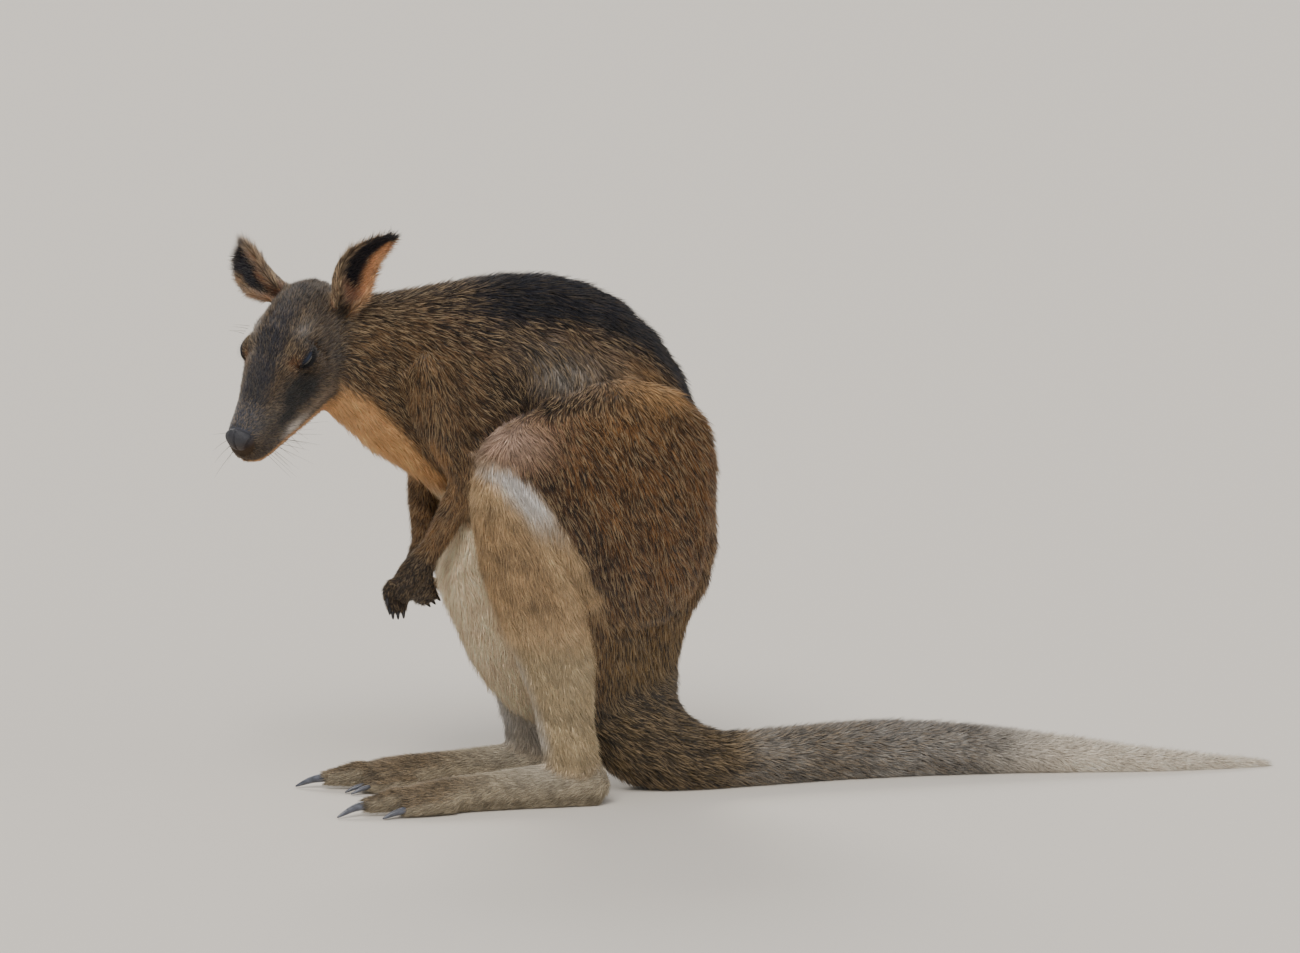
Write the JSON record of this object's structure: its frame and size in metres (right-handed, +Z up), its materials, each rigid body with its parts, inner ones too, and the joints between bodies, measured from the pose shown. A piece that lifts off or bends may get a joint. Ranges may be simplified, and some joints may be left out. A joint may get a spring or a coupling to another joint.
{
  "type": "wallaby model",
  "caption": "Life-size still model of a wallaby standing hunched on its hind feet and tail, head turned to its left, hands held together before the belly.",
  "frame": {"origin": "centre of the animal's footprint box, at floor level", "axes": "+X from the head towards the tail's tip, +Y towards the animal's right side, +Z up"},
  "size_m": [0.8614, 0.1986, 0.4619],
  "materials": {
    "coat_brown": "coarse grizzled grey-brown fur",
    "coat_dark": "short dark fur of the ears",
    "coat_pale": "pale buff and silver fur",
    "hand_skin": "short black-brown fur over bare pads",
    "nose_skin": "bare dark skin with a dull sheen",
    "claw_horn": "dark grey horn",
    "eye_wet": "wet dark brown"
  },
  "bodies": {
    "root": {"belly": "coat_brown", "chest": "coat_brown", "ear_left": "coat_dark", "ear_right": "coat_dark", "eye_left": "eye_wet", "eye_right": "eye_wet", "foot_left": "coat_pale", "foot_right": "coat_pale", "forearm_left": "coat_brown", "forearm_right": "coat_brown", "hand_claw_left_1": "claw_horn", "hand_claw_left_2": "claw_horn", "hand_claw_left_3": "claw_horn", "hand_claw_left_4": "claw_horn", "hand_claw_left_5": "claw_horn", "hand_claw_right_1": "claw_horn", "hand_claw_right_2": "claw_horn", "hand_claw_right_3": "claw_horn", "hand_claw_right_4": "claw_horn", "hand_claw_right_5": "claw_horn", "hand_left": "hand_skin", "hand_right": "hand_skin", "head": "coat_brown", "neck": "coat_brown", "nose": "nose_skin", "rump": "coat_brown", "shank_left": "coat_pale", "shank_right": "coat_pale", "tail_end": "coat_pale", "tail_middle": "coat_pale", "tail_root": "coat_pale", "tail_tip": "coat_pale", "thigh_left": "coat_brown", "thigh_right": "coat_brown", "toe_claw_left_fifth": "claw_horn", "toe_claw_left_fourth": "claw_horn", "toe_claw_left_second": "claw_horn", "toe_claw_left_third": "claw_horn", "toe_claw_right_fifth": "claw_horn", "toe_claw_right_fourth": "claw_horn", "toe_claw_right_second": "claw_horn", "toe_claw_right_third": "claw_horn", "upper_arm_left": "coat_brown", "upper_arm_right": "coat_brown"}
  },
  "joints": []
}
